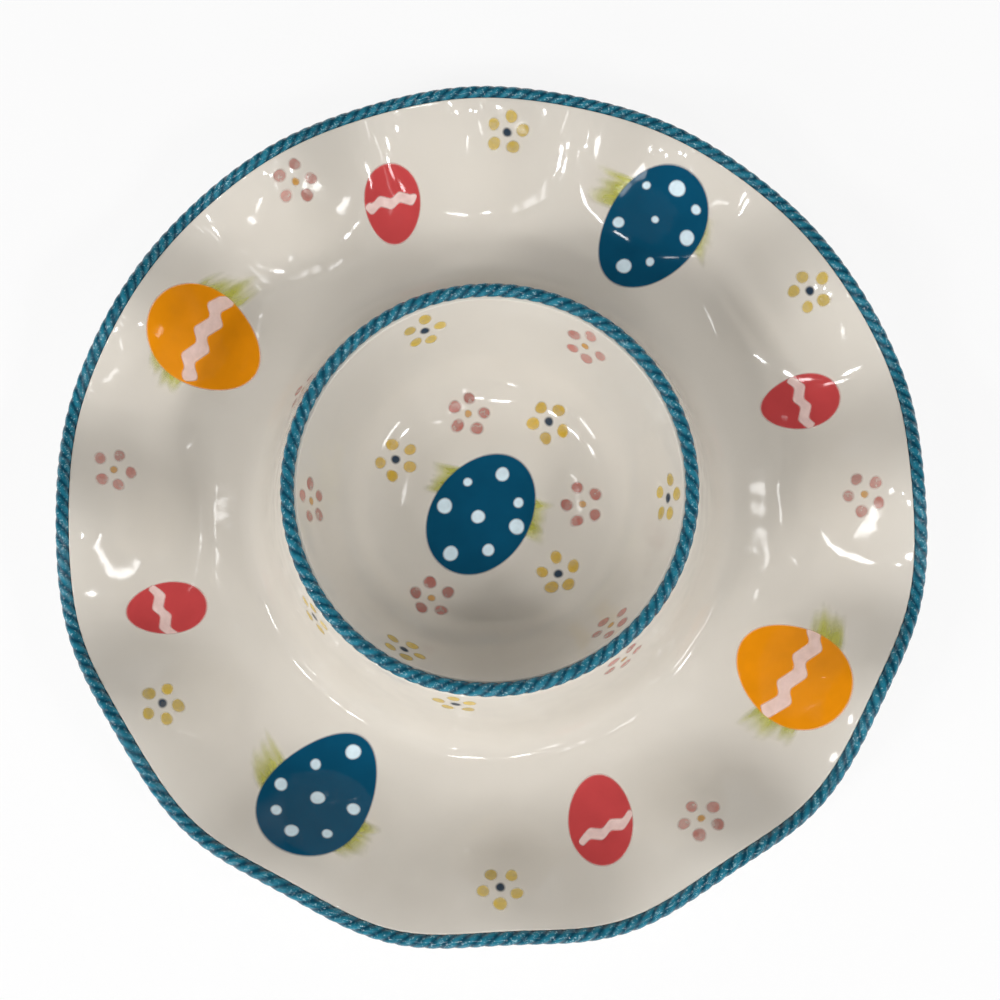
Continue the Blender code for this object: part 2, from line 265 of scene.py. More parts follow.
class StageSettings(bpy.types.PropertyGroup):
    """Camera and light."""

    camera_place: FloatVectorProperty(
        name="Camera place", description="Where the camera stands",
        subtype="TRANSLATION", unit="LENGTH", default=(0.0061, -0.0847, 0.5568),
    )
    camera_aim: FloatVectorProperty(
        name="Camera aim", description="What the camera looks at",
        subtype="TRANSLATION", unit="LENGTH", default=(0.0039, -0.00166, 0.0375),
    )
    camera_lens: FloatProperty(
        name="Lens", description="Focal length", unit="CAMERA", min=1, default=46.54
    )
    lamp_power: FloatProperty(
        name="Lamp", description="Full power of a lamp", unit="POWER", min=0, default=9.7
    )
    sky: FloatProperty(
        name="Sky", description="Strength of the even light from above the horizon", min=0, default=0.06
    )
    floor: colour_property("Floor", "Plain pale floor", "F4F4F4")


def unit(vectors):
    """Vectors brought to length 1."""
    return vectors / np.linalg.norm(vectors, axis=-1, keepdims=True)


def full_turn(steps):
    """Angles in even steps once round."""
    return np.arange(steps) * math.tau / steps


def bezier(start, start_handle, end_handle, end, steps):
    """Points of a Bezier curve in a profile, both ends included."""
    share = np.linspace(0, 1, steps + 1)[:, None]
    rest = 1 - share
    first = rest**3 * start + 3 * rest**2 * share * start_handle
    return first + 3 * rest * share**2 * end_handle + share**3 * end


def below(points, distance):
    """Points of a profile that runs outward, moved square to it to its lower side."""
    along = unit(np.gradient(points, axis=0))
    return points + distance * np.column_stack([along[:, 1], -along[:, 0]])


def rounded(points):
    """A profile whose sharp corners are replaced by short curves."""
    done = [points[0]]
    for before, corner, after in zip(points, points[1:], points[2:]):
        into, away = before - corner, after - corner
        into_length, away_length = np.linalg.norm(into), np.linalg.norm(away)
        if -(into @ away) > math.cos(SMOOTH_BEND) * into_length * away_length:
            done.append(corner)
            continue
        # The cuts at both ends of a short side don't meet.
        cut = min(EDGE_ROUNDING, 0.45 * into_length, 0.45 * away_length)
        start = corner + into * cut / into_length
        end = corner + away * cut / away_length
        handles = (start + 2 * corner) / 3, (end + 2 * corner) / 3
        done.extend(bezier(start, *handles, end, steps=4))
    return np.array(done + [points[-1]])


def bowl_line(steps):
    """The bowl's inside, from the edge of its level floor up to its mouth."""
    floor = np.array((BOWL_FLOOR_RADIUS, BOWL_INSIDE))
    mouth = np.array((BOWL_MOUTH, LIP_HEIGHT))
    width, height = mouth - floor
    floor_handle = floor + BOWL_FLOOR_HANDLE * width * OUT
    mouth_handle = mouth - BOWL_MOUTH_HANDLE * height * (UP + math.tan(BOWL_SLOPE) * OUT)
    return bezier(floor, floor_handle, mouth_handle, mouth, steps)


def collar_line(steps):
    """The collar's outside, from its lip down to the trough's floor."""
    lip = np.array((LIP_OUTER, LIP_HEIGHT))
    base = np.array((TROUGH_INNER, TROUGH_FLOOR))
    height = LIP_HEIGHT - TROUGH_FLOOR
    lip_handle = lip - COLLAR_LIP_HANDLE * height * (UP - math.tan(COLLAR_SLOPE) * OUT)
    return bezier(lip, lip_handle, base - COLLAR_FOOT_HANDLE * COLLAR_SPREAD * OUT, base, steps)


def wall_line(steps):
    """The platter's wall, from the trough's floor up to the rope, before the ruffle."""
    floor = np.array((TROUGH_OUTER, TROUGH_FLOOR))
    rim = RIM_END + PLATTER_WALL / 2 * ACROSS_RIM_WALL
    width = rim[0] - TROUGH_OUTER
    floor_handle = floor + WALL_FOOT_HANDLE * width * OUT
    return bezier(floor, floor_handle, rim - WALL_RIM_HANDLE * width * ALONG_RIM_WALL, rim, steps)


def well_line(steps):
    """The well under the bowl, from its foot recess up to the collar's lip."""
    clear = BOWL_WALL + WELL_CLEARANCE
    curve = below(bowl_line(steps), clear)
    wall = curve[:-1][curve[:-1, 0] > RECESS + FOOT_CLEARANCE]
    recess = [(RECESS, WELL_FLOOR), (RECESS + FOOT_CLEARANCE / 2, BOWL_INSIDE - clear)]
    return np.concatenate([recess, wall, [(LIP_INNER, LIP_HEIGHT)]])


def hollow_line(steps):
    """The hollow under the collar, from its outer foot over its top to its inner one."""
    inner_slope, outer_slope = math.tan(BOWL_SLOPE), math.tan(COLLAR_SLOPE)
    inner_wall = PLATTER_WALL / math.cos(BOWL_SLOPE)
    outer_wall = PLATTER_WALL / math.cos(COLLAR_SLOPE)
    spread = inner_wall + outer_wall + HOLLOW_WIDTH - (LIP_OUTER - LIP_INNER)
    drop = spread / (inner_slope + outer_slope)
    top = LIP_HEIGHT - drop
    tops = [
        (LIP_OUTER + drop * outer_slope - outer_wall, top),
        (LIP_INNER - drop * inner_slope + inner_wall, top),
    ]
    outer = below(collar_line(steps), PLATTER_WALL)
    inner = below(well_line(steps), PLATTER_WALL)[1:]
    outer = outer[outer[:, 1] < top - HOLLOW_WIDTH]
    inner = inner[inner[:, 1] < top - HOLLOW_WIDTH]
    return np.concatenate([outer[::-1], tops, inner[::-1]])


def platter_section():
    """The platter's section, from the well's middle over the top to the rim and back below."""
    tucked = PLATTER_TUCK * ALONG_RIM_WALL
    half = PLATTER_WALL / 2 * ACROSS_RIM_WALL
    top = [[(0, WELL_FLOOR)], well_line(steps=22), collar_line(steps=26), wall_line(steps=38)]
    rim = [[RIM_END + half + tucked, RIM_END - half + tucked]]
    foot = [[(TROUGH_OUTER - FOOT_DRAFT, 0), (TROUGH_INNER + FOOT_DRAFT, 0)]]
    under = [below(wall_line(steps=16), PLATTER_WALL)[::-1], *foot, hollow_line(steps=14)]
    middle = [[(RECESS, WELL_LIFT), (0, WELL_LIFT)]]
    return rounded(np.concatenate(top + rim + under + middle))


def bowl_section():
    """The bowl's section, from its floor's middle up to the rope and back along the outside."""
    inside = bowl_line(steps=40)
    outside = below(inside, BOWL_WALL)[-2::-1]
    rim = [(BOWL_MOUTH + side, LIP_HEIGHT + BOWL_TUCK) for side in BOWL_EDGE]
    outer_rim = [(BOWL_MOUTH + BOWL_WALL / math.cos(BOWL_SLOPE), LIP_HEIGHT)]
    foot_inner = BOWL_FLOOR_RADIUS - BOWL_FOOT_WIDTH
    foot = [(BOWL_FLOOR_RADIUS, BOWL_FOOT_END), (foot_inner, BOWL_FOOT_END)]
    base = [(foot_inner, BOWL_BASE), (0, BOWL_BASE)]
    return rounded(np.concatenate([[(0, BOWL_INSIDE)], inside, rim, outer_rim, outside, foot, base]))


def ruffle(radius, height, angle):
    """Radius and height of platter points, moved by the ruffle of its wall."""
    grown = np.clip((radius - TROUGH_OUTER) / (RUFFLE_END - TROUGH_OUTER), 0, 1)
    wave = grown**2 * (3 - 2 * grown) * np.cos(RUFFLE_COUNT * (angle - RUFFLE_TURN))
    return radius + RUFFLE_REACH * wave, height - RUFFLE_RISE * wave


def round_axis(radius, height, angle):
    return np.stack([radius * np.cos(angle), radius * np.sin(angle), height], -1)


def new_object(name, data):
    obj = bpy.data.objects.new(name, data)
    bpy.context.collection.objects.link(obj)
    return obj


def new_piece(name, points, faces, materials, body):
    """A smooth mesh in the frame's axes that rides on a body."""
    mesh = bpy.data.meshes.new(name)
    mesh.from_pydata(points, [], faces)
    mesh.shade_smooth()
    for material in materials:
        mesh.materials.append(material)
    piece = new_object(name, mesh)
    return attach(piece, body)


def grid_faces(rows, columns, wrap_rows):
    """Quads of a grid of points, closed along its columns, and along its rows if asked."""
    row = np.arange(rows if wrap_rows else rows - 1)[:, None]
    column = np.arange(columns)[None, :]
    here, there = row * columns, (row + 1) % rows * columns
    after = (column + 1) % columns
    corners = [here + column, there + column, there + after, here + after]
    return np.stack(corners, -1).reshape(-1, 4).tolist()


def turned(section, steps, wave=None):
    """Points and faces of a section, which starts and ends on the axis, turned round it."""
    line = section[1:-1]
    radius, angle = np.meshgrid(line[:, 0], full_turn(steps), indexing="ij")
    height = np.repeat(line[:, 1:], steps, axis=1)
    if wave:
        radius, height = wave(radius, height, angle)
    points = round_axis(radius, height, angle).reshape(-1, 3)
    ends = [(0, 0, section[0, 1]), (0, 0, section[-1, 1])]
    faces = grid_faces(len(line), steps, False)
    top, bottom, last = len(points), len(points) + 1, len(points) - steps
    for step in range(steps):
        after = (step + 1) % steps
        faces.append([top, step, after])
        faces.append([bottom, last + after, last + step])
    return np.concatenate([points, ends]), faces


def new_clay(name, points, faces, body, foot_end, colours):
    """A glazed piece of the dish, bare up to the end of its foot."""
    piece = new_piece(name, points, faces, [cream_glaze(colours), bare_clay(colours)], body)
    for face in piece.data.polygons:
        face.material_index = int(face.center.z < foot_end)
    return piece


def rope_mesh(path, turns, strand_offset):
    """Points, faces and crown values of a closed rope: strands pressed together and twisted."""
    sections = turns * STRAND_COUNT * SECTIONS_PER_STRAND
    turn = full_turn(sections)
    centre = path(turn)
    step = 0.0005
    ahead = unit(path(turn + step) - path(turn - step))
    out = unit(np.cross(ahead, (0, 0, 1)))
    up = np.cross(out, ahead)
    spot = full_turn(ROPE_FACETS)
    half_strand = math.pi / STRAND_COUNT
    lobe = (spot + half_strand) % (2 * half_strand) - half_strand
    strand = ROPE_RADIUS - strand_offset
    reach = strand_offset * np.cos(lobe) + np.sqrt(strand**2 - (strand_offset * np.sin(lobe)) ** 2)
    angle = (turns * turn)[:, None] + spot[None, :]
    across = np.cos(angle)[..., None] * out[:, None] + np.sin(angle)[..., None] * up[:, None]
    points = centre[:, None] + reach[None, :, None] * across
    crown = np.broadcast_to((reach - reach.min()) / np.ptp(reach), points.shape[:2])
    faces = [face[::-1] for face in grid_faces(sections, ROPE_FACETS, True)]
    return points.reshape(-1, 3), faces, crown.reshape(-1)


def platter_rope_path(turn):
    height = np.full_like(turn, RIM_HEIGHT)
    return round_axis(*ruffle(np.full_like(turn, RIM_RADIUS), height, turn), turn)


def bowl_rope_path(turn):
    return round_axis(BOWL_ROPE_RADIUS, np.full_like(turn, BOWL_RIM_HEIGHT), turn)


def point_values(piece, name, values):
    attribute = piece.data.attributes.new(name, "FLOAT", "POINT")
    attribute.data.foreach_set("value", np.asarray(values, np.float32))


class Surface:
    """A shown surface of the dish, found by the length along its profile and the angle."""

    def __init__(self, body, line, wave=None):
        self.body = body
        self.line = line
        self.wave = wave
        steps = np.linalg.norm(np.diff(line, axis=0), axis=1)
        self.length = np.concatenate([[0], np.cumsum(steps)])

    def radius(self, along):
        return np.interp(along, self.length, self.line[:, 0])

    def points(self, along, angle):
        radius = self.radius(along)
        height = np.interp(along, self.length, self.line[:, 1])
        if self.wave:
            radius, height = self.wave(radius, height, angle)
        return round_axis(radius, height, angle)

    def lifted(self, along, angle, lift):
        """Points raised off the surface, and its normals there."""
        step = 0.0004
        along = np.clip(along, step, self.length[-1] - step)
        out = self.points(along + step, angle) - self.points(along - step, angle)
        turn = step / np.maximum(self.radius(along), step)
        round_it = self.points(along, angle + turn) - self.points(along, angle - turn)
        normal = unit(np.cross(out, round_it))
        return self.points(along, angle) + lift * normal, normal

    def spot(self, angle, along):
        """Walks from a spot: x to the right and y to the middle of the dish, seen from its edge."""
        return lambda x, y: (along - y, angle + x / self.radius(along - y))

    def plan(self, across, up):
        """Walks over the surface as laid flat from the axis out: x across and y up the dish."""
        return lambda x, y: (np.hypot(across + x, up + y), np.arctan2(up + y, across + x))


COLLAR = collar_line(PAINTED_STEPS)
COLLAR_LENGTH = Surface("platter", COLLAR).length[-1]
PLATTER_TOP = Surface("platter", np.concatenate([COLLAR, wall_line(PAINTED_STEPS)]), ruffle)
BOWL_TOP = Surface("bowl", np.concatenate([[(0, BOWL_INSIDE)], bowl_line(PAINTED_STEPS)]))


def turned_by(walk, degrees):
    """The same walk from axes turned by an angle."""
    cos, sin = math.cos(math.radians(degrees)), math.sin(math.radians(degrees))
    return lambda x, y: walk(x * cos - y * sin, x * sin + y * cos)


def on_platter(egg):
    """Walks from the middle of an egg on the platter."""
    angle, out, *_, lean = egg
    return turned_by(PLATTER_TOP.spot(math.radians(angle), COLLAR_LENGTH + out * MM), lean)


def on_bowl_floor(egg):
    """Walks from the middle of an egg on the bowl's floor."""
    across, up, *_, lean = egg
    return turned_by(BOWL_TOP.plan(across * MM, up * MM), lean)


def egg_shape(egg):
    """Length, width and taper of an egg."""
    length, width, taper = egg[2:5]
    return length * MM, width * MM, taper


class Paint:
    """Marks of paint on one surface, gathered into one thin mesh with a slot for each colour."""

    def __init__(self, surface):
        self.surface = surface
        self.sizes = bpy.context.scene.platter_sizes
        self.points, self.normals, self.cover, self.tone = [], [], [], []
        self.faces, self.slots = [], []
        self.count = 0

    def add(self, walk, x, y, cover, faces, slot, layer, tone):
        along, angle = walk(x, y)
        points, normals = self.surface.lifted(along, angle, self.sizes.paint_layer * layer)
        self.points.append(points)
        self.normals.append(normals)
        self.cover.append(cover)
        self.tone.append(np.full(len(points), tone))
        self.faces += [[corner + self.count for corner in face] for face in faces]
        self.slots += [slot] * len(faces)
        self.count += len(points)

    def blob(self, walk, middle, outline, slot, layer, tone=0.5, step=0.0025):
        """A mark filled in rings a step apart, out to its outline, which bleeds out softly."""
        middle = np.asarray(middle)
        spokes = outline - middle
        size = np.linalg.norm(spokes, axis=1).mean()
        soft = self.sizes.soft_edge / size / 2
        inner = np.linspace(0, 1 - soft, max(2, round(size / step)) + 1)[1:]
        shares = np.concatenate([inner, [1, 1 + soft]])
        cover = np.concatenate([np.ones(len(inner)), [0.5, 0]])
        rings = middle + shares[:, None, None] * spokes[None]
        flat = np.concatenate([rings.reshape(-1, 2), [middle]])
        around = len(outline)
        faces = grid_faces(len(shares), around, False)
        centre = len(flat) - 1
        faces += [[centre, spoke, (spoke + 1) % around] for spoke in range(around)]
        cover = np.concatenate([np.repeat(cover, around), [1]])
        self.add(walk, flat[:, 0], flat[:, 1], cover, faces, slot, layer, tone)

    def ribbon(self, walk, middle, across, cover, slot, layer, tone=0.5, trim=None, soft_edge=None):
        """A stroke along a line of points, as wide as its across vectors reach to either side."""
        width = np.linalg.norm(across, axis=1)
        soft = np.clip((soft_edge or self.sizes.soft_edge) / 2 / np.maximum(width, 1e-6), 0, 0.9)
        flat_half = (1 - soft) / 2
        sides = [-1 - soft, -2 * flat_half, -flat_half, 0 * soft, flat_half, 2 * flat_half, 1 + soft]
        flat = np.stack([middle + side[:, None] * across for side in sides], 1)
        if trim:
            flat = trim(flat)
        edge = np.array([0, 1, 1, 1, 1, 1, 0])
        rows, columns = flat.shape[:2]
        faces = []
        for row in range(rows - 1):
            for corner in range(row * columns, (row + 1) * columns - 1):
                faces.append([corner, corner + 1, corner + columns + 1, corner + columns])
        if np.cross(np.diff(middle, axis=0), across[:-1]).sum() >= 0:
            faces = [face[::-1] for face in faces]
        cover = (np.asarray(cover)[:, None] * edge).reshape(-1)
        x, y = flat.reshape(-1, 2).T
        self.add(walk, x, y, cover, faces, slot, layer, tone)

    def make(self, name, materials):
        piece = new_piece(name, np.concatenate(self.points), self.faces, materials, self.surface.body)
        piece.data.polygons.foreach_set("material_index", self.slots)
        piece.data.normals_split_custom_set_from_vertices(np.concatenate(self.normals))
        point_values(piece, "cover", np.concatenate(self.cover))
        point_values(piece, "tone", np.concatenate(self.tone))
        # Paint lies in the glaze, so its thin mesh doesn't shade the clay under its soft edge.
        piece.visible_shadow = piece.visible_diffuse = False


def egg_width(y, length, width, taper):
    """Half the width of an egg at a height on its axis, its narrower end up."""
    share = np.clip(2 * y / length, -1, 1)
    return width / 2 * np.sqrt(1 - share**2) * (1 - taper * share)


def egg_outline(length, width, taper):
    turn = full_turn(EGG_STEPS)
    y = length / 2 * np.sin(turn)
    side = np.where(np.cos(turn) < 0, -1, 1)
    return np.stack([side * egg_width(y, length, width, taper), y], 1)


def circle(x, y, radius, jitter, phase):
    """A dot's outline, out of true by a share of its radius as a brush leaves it."""
    turn = full_turn(DOT_STEPS)
    reach = radius * (1 + jitter * np.sin(2 * turn + phase) + jitter / 2 * np.sin(3 * turn - phase))
    return np.stack([x + reach * np.cos(turn), y + reach * np.sin(turn)], 1)


def egg_band(paint, walk, egg, band, width, rise, period, climb):
    """A zigzag band across an egg, kept inside its outline, that climbs for a share of each period."""
    height, slope, low, start, end = band
    x = np.linspace(start, end, BAND_STEPS + 1) * MM
    phase = (x - low * MM) / period % 1
    zigzag = np.where(phase < climb, phase / climb, (1 - phase) / (1 - climb)) * 2 - 1
    window = 11
    soft = np.convolve(np.pad(zigzag, window // 2, "edge"), np.ones(window) / window, "valid")
    middle = np.stack([x, height * MM + slope * x + rise * soft], 1)

    def trim(flat):
        reach = egg_width(flat[..., 1], *egg)
        return np.stack([np.clip(flat[..., 0], -reach, reach), flat[..., 1]], -1)

    # Both ends of a band are rounded.
    from_end = np.minimum(x - x[0], x[-1] - x)
    half = width / 2 * np.sqrt(np.clip(from_end / (0.4 * width), 0.04, 1))
    across = np.stack([np.zeros(len(x)), half], 1)
    paint.ribbon(walk, middle, across, np.ones(len(x)), MARK_SLOT, MARK_LAYER, trim=trim)


def grass_tuft(paint, walk, tuft, brush):
    """A wash of colour with a row of brushed blades over it that fade to their tips."""
    *corners, strength = tuft
    root_start, root_end, tip_start, tip_end = np.reshape(corners, (4, 2)) * MM
    root_row, tip_row = root_end - root_start, tip_end - tip_start
    share = np.linspace(0, 1, BLADE_STEPS + 1)[:, None]
    fade = np.clip(1.5 * (1 - share[:, 0]), 0, 1)
    roots, tips = (root_start + root_end) / 2, (tip_start + tip_end) / 2
    middle = roots + WASH_LENGTH * share * (tips - roots)
    across = ((1 - share) * root_row + share * tip_row) / 2.2
    cover = WASH_STRENGTH * strength * fade
    paint.ribbon(walk, middle, across, cover, MAIN_SLOT, WASH_LAYER, soft_edge=WASH_EDGE)
    for blade in range(GRASS_BLADES):
        place = np.clip(blade / (GRASS_BLADES - 1) + brush.uniform(-0.06, 0.06), 0, 1)
        root = root_start + place * root_row
        tip = tip_start + np.clip(place + brush.uniform(-0.15, 0.15), 0, 1) * tip_row
        tip = root + (tip - root) * brush.uniform(0.7, 1.08)
        side = (root - tip)[::-1] * (1, -1)
        middle = root + share * (tip - root) + share * (1 - share) * side * brush.uniform(-0.25, 0.25)
        half = brush.uniform(0.0013, 0.0024) * (1 - 0.6 * share**2)
        across = half * side / np.linalg.norm(side)
        cover = strength * brush.uniform(0.6, 1) * fade
        layer, tone = GRASS_LAYER + 0.15 * blade, brush.uniform(0, 1)
        paint.ribbon(walk, middle, across, cover, MAIN_SLOT, layer, tone, soft_edge=BLADE_EDGE)


def flower(paint, walk, centre, brush, slot):
    """Dabbed petals, in the colour of a slot, round a dot."""
    sizes = paint.sizes
    uneven, step = 0.05, 0.001
    for petal in range(PETAL_COUNT):
        turn = math.tau * petal / PETAL_COUNT + math.radians(brush.uniform(-7, 7))
        ring = sizes.petal_ring * brush.uniform(0.94, 1.06)
        x, y = ring * math.cos(turn), ring * math.sin(turn)
        radius = sizes.petal / 2 * brush.uniform(0.92, 1.08)
        outline = circle(x, y, radius, uneven, brush.uniform(0, math.tau))
        paint.blob(walk, (x, y), outline, slot, FLOWER_LAYER, brush.uniform(0, 1), step)
    outline = circle(0, 0, centre / 2, uneven, brush.uniform(0, math.tau))
    paint.blob(walk, (0, 0), outline, MARK_SLOT, FLOWER_LAYER, step=step)


# Sockets of a Mix node that mixes colours: its share, its two colours and its result
SHARE, FIRST, SECOND, MIXED = 0, 6, 7, 2


def add_node(tree, kind, inputs=None, **settings):
    """Adds a shader node with its settings; an input is a value, or a socket or node to link from."""
    node = tree.nodes.new("ShaderNode" + kind)
    for name, value in settings.items():
        setattr(node, name, value)
    for name, value in (inputs or {}).items():
        if isinstance(value, bpy.types.Node):
            value = value.outputs[0]
        if isinstance(value, bpy.types.NodeSocket):
            tree.links.new(value, node.inputs[name])
        else:
            node.inputs[name].default_value = value
    return node


def new_material(name):
    """A material with an empty tree and the frame's axes to draw its patterns in."""
    material = bpy.data.materials.new(name)
    material.use_nodes = True
    tree = material.node_tree
    tree.nodes.clear()
    return material, tree, add_node(tree, "TexCoord").outputs["Object"]


def glaze_runs(tree, place):
    """The waver of the clear glaze, about 16 mm from run to run, in dish and painting alike."""
    runs = add_node(tree, "TexNoise", {"Vector": place, "Scale": 1 / 0.016, "Detail": 1.0})
    return add_node(tree, "Bump", {"Height": runs, "Strength": 1.0, "Distance": 0.0005})


def cream_glaze(colours):
    # Earthenware dipped in a clear, slightly creamy glaze: a glassy coat over pale clay. The eye sees
    # sharp reflections that waver where the glaze ran, and faint clouds where it lies thinner.
    material, tree, place = new_material("glazed earthenware, cream")
    clouds = add_node(tree, "TexNoise", {"Vector": place, "Scale": 1 / 0.045, "Detail": 3.0})
    creams = {SHARE: clouds, FIRST: (*colours.cream, 1), SECOND: (*colours.cream_warm, 1)}
    mixed = add_node(tree, "Mix", creams, data_type="RGBA")
    patches = add_node(tree, "TexNoise", {"Vector": place, "Scale": 1 / 0.018, "Detail": 2.0})
    rough = add_node(tree, "MapRange", {"Value": patches, "To Min": 0.05, "To Max": 0.11})
    look = {
        "Base Color": mixed.outputs[MIXED], "Roughness": rough, "IOR": 1.5,
        "Normal": glaze_runs(tree, place),
    }
    shader = add_node(tree, "BsdfPrincipled", look)
    add_node(tree, "OutputMaterial", {"Surface": shader})
    return material


def teal_glaze(colours):
    # Pressed clay rope under a coloured glaze, which drains off the crowns and pools in the grooves.
    # Its colour is lighter on the strands and darker between them, partly from that glaze and partly as
    # painted shade in the grooves. It has pale specks on the crowns, which are painted glints where the
    # glaze is also drawn off the fibres.
    material, tree, place = new_material("glazed earthenware, teal")
    crown = add_node(tree, "Attribute", attribute_name="crown").outputs["Fac"]
    mottle = add_node(tree, "TexNoise", {"Vector": place, "Scale": 1 / 0.003, "Detail": 2.0})
    # Crowns lighter and grooves darker: glaze pooling, and painted shade between the strands.
    crown_mottle = add_node(tree, "Math", {0: crown, 1: mottle}, operation="MULTIPLY")
    drained_and_shaded = add_node(tree, "MapRange", {"Value": crown_mottle, "From Min": 0.12, "From Max": 0.55})
    teals = {SHARE: drained_and_shaded, FIRST: (*colours.teal, 1), SECOND: (*colours.teal_crown, 1)}
    mixed = add_node(tree, "Mix", teals, data_type="RGBA")
    # Fibres of the pressed rope are about 0.4 mm apart; they are drawn at 1 mm so that they show.
    fibres = add_node(tree, "TexNoise", {"Vector": place, "Scale": 1 / 0.001, "Detail": 1.0})
    worn_and_glinting = add_node(tree, "MapRange", {"Value": fibres, "From Min": 0.6, "From Max": 0.72})
    # Pale specks on the crowns: painted glints, where the glaze is also drawn off the fibres.
    specks = add_node(tree, "Math", {0: crown, 1: worn_and_glinting}, operation="MULTIPLY")
    drawn_off_and_glints = {SHARE: specks, FIRST: mixed.outputs[MIXED], SECOND: (*colours.teal_speck, 1)}
    specked = add_node(tree, "Mix", drawn_off_and_glints, data_type="RGBA")
    bump = add_node(tree, "Bump", {"Height": fibres, "Strength": 1.0, "Distance": 0.00012})
    look = {"Base Color": specked.outputs[MIXED], "Roughness": 0.14, "IOR": 1.5, "Normal": bump}
    shader = add_node(tree, "BsdfPrincipled", look)
    add_node(tree, "OutputMaterial", {"Surface": shader})
    return material


def bare_clay(colours):
    # Fired clay without glaze on the foot, wiped clean before firing: dry, buff and slightly gritty.
    material, tree, place = new_material("bisque earthenware")
    grit = add_node(tree, "TexNoise", {"Vector": place, "Scale": 1 / 0.0012, "Detail": 3.0})
    dark = [0.8 * value for value in colours.clay]
    clays = {SHARE: grit, FIRST: (*dark, 1), SECOND: (*colours.clay, 1)}
    mixed = add_node(tree, "Mix", clays, data_type="RGBA")
    bump = add_node(tree, "Bump", {"Height": grit, "Strength": 0.5, "Distance": 0.00005})
    look = {"Base Color": mixed.outputs[MIXED], "Roughness": 0.85, "Normal": bump}
    shader = add_node(tree, "BsdfPrincipled", look)
    add_node(tree, "OutputMaterial", {"Surface": shader})
    return material


def underglaze(name, colour, spread, wash, grain):
    # Brushed underglaze colour below the clear glaze: glossy like the dish, uneven in depth where
    # the brush left more or less colour, and bled at its edge. Wash is how thin the coat may get.
    material, tree, place = new_material("underglaze, " + name)
    tone = add_node(tree, "Attribute", attribute_name="tone").outputs["Fac"]
    cover = add_node(tree, "Attribute", attribute_name="cover").outputs["Fac"]
    brush = add_node(tree, "TexNoise", {"Vector": place, "Scale": 1 / grain, "Detail": 3.0})
    depth = add_node(tree, "Math", {0: tone, 1: brush}, operation="ADD")
    deep = [value * (1 - spread) for value in colour]
    pale = [min(1, value * (1 + spread)) for value in colour]
    half = add_node(tree, "MapRange", {"Value": depth, "From Min": 0.2, "From Max": 1.8})
    depths = {SHARE: half, FIRST: (*deep, 1), SECOND: (*pale, 1)}
    mixed = add_node(tree, "Mix", depths, data_type="RGBA")
    coat = {"Value": brush, "From Min": 0.3, "From Max": 0.7, "To Min": wash}
    thick = add_node(tree, "MapRange", coat)
    alpha = add_node(tree, "Math", {0: cover, 1: thick}, operation="MULTIPLY")
    look = {
        "Base Color": mixed.outputs[MIXED], "Roughness": 0.08, "IOR": 1.28, "Alpha": alpha,
        "Normal": glaze_runs(tree, place),
    }
    shader = add_node(tree, "BsdfPrincipled", look)
    add_node(tree, "OutputMaterial", {"Surface": shader})
    return material


def matt_paper(stage):
    # A sheet of matt paper: mostly its own white where it is seen, so that the shadow stays faint,
    # and wholly so away from the dish, where it runs into the white surroundings.
    material, tree, place = new_material("matt paper")
    paper = add_node(tree, "BsdfDiffuse", {"Color": (*stage.floor, 1)})
    white = add_node(tree, "Emission", {"Color": (1, 1, 1, 1), "Strength": 1.0})
    path = add_node(tree, "LightPath").outputs
    seen = path["Is Camera Ray"]
    for other in ("Is Glossy Ray", "Is Transmission Ray"):
        seen = add_node(tree, "Math", {0: seen, 1: path[other]}, operation="MAXIMUM")
    distance = add_node(tree, "VectorMath", {0: place}, operation="LENGTH")
    near = {"Value": distance.outputs["Value"], "From Min": 0.25, "From Max": 1.2, "To Min": 0.85}
    own = add_node(tree, "MapRange", near)
    share = add_node(tree, "Math", {0: seen, 1: own}, operation="MULTIPLY")
    both = add_node(tree, "MixShader", {0: share, 1: paper, 2: white})
    add_node(tree, "OutputMaterial", {"Surface": both})
    return material


class PLATTER_OT_platter_body(bpy.types.Operator):
    """Make the ruffled platter with its collar, well and foot ring"""

    bl_idname = "platter.platter_body"
    bl_label = "Platter Body"

    def execute(self, context):
        colours = context.scene.platter_colours
        points, faces = turned(platter_section(), PLATTER_STEPS, ruffle)
        body = new_clay("glazed_platter", points, faces, "platter", BARE_FOOT, colours)
        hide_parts("platter_body")
        return {"FINISHED"}


class PLATTER_OT_dip_bowl(bpy.types.Operator):
    """Make the dip bowl that drops into the well"""

    bl_idname = "platter.dip_bowl"
    bl_label = "Dip Bowl"

    def execute(self, context):
        colours = context.scene.platter_colours
        points, faces = turned(bowl_section(), BOWL_STEPS)
        foot_end = BOWL_FOOT_END + BARE_FOOT
        bowl = new_clay("glazed_bowl", points, faces, "bowl", foot_end, colours)
        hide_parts("dip_bowl")
        return {"FINISHED"}


class PLATTER_OT_rope_rims(bpy.types.Operator):
    """Make the twisted rope rims of platter and bowl"""

    bl_idname = "platter.rope_rims"
    bl_label = "Rope Rims"

    def execute(self, context):
        offset = context.scene.platter_sizes.strand_offset
        glaze = teal_glaze(context.scene.platter_colours)
        for name, node, body, path, turns in (
            ("glazed_platter_rope", "platter_rope_rim", "platter", platter_rope_path, PLATTER_ROPE_TURNS),
            ("glazed_bowl_rope", "dip_bowl_rope_rim", "bowl", bowl_rope_path, BOWL_ROPE_TURNS),
        ):
            points, faces, crown = rope_mesh(path, turns, offset)
            rope = new_piece(name, points, faces, [glaze], body)
            point_values(rope, "crown", crown)
            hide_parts(node)
        return {"FINISHED"}


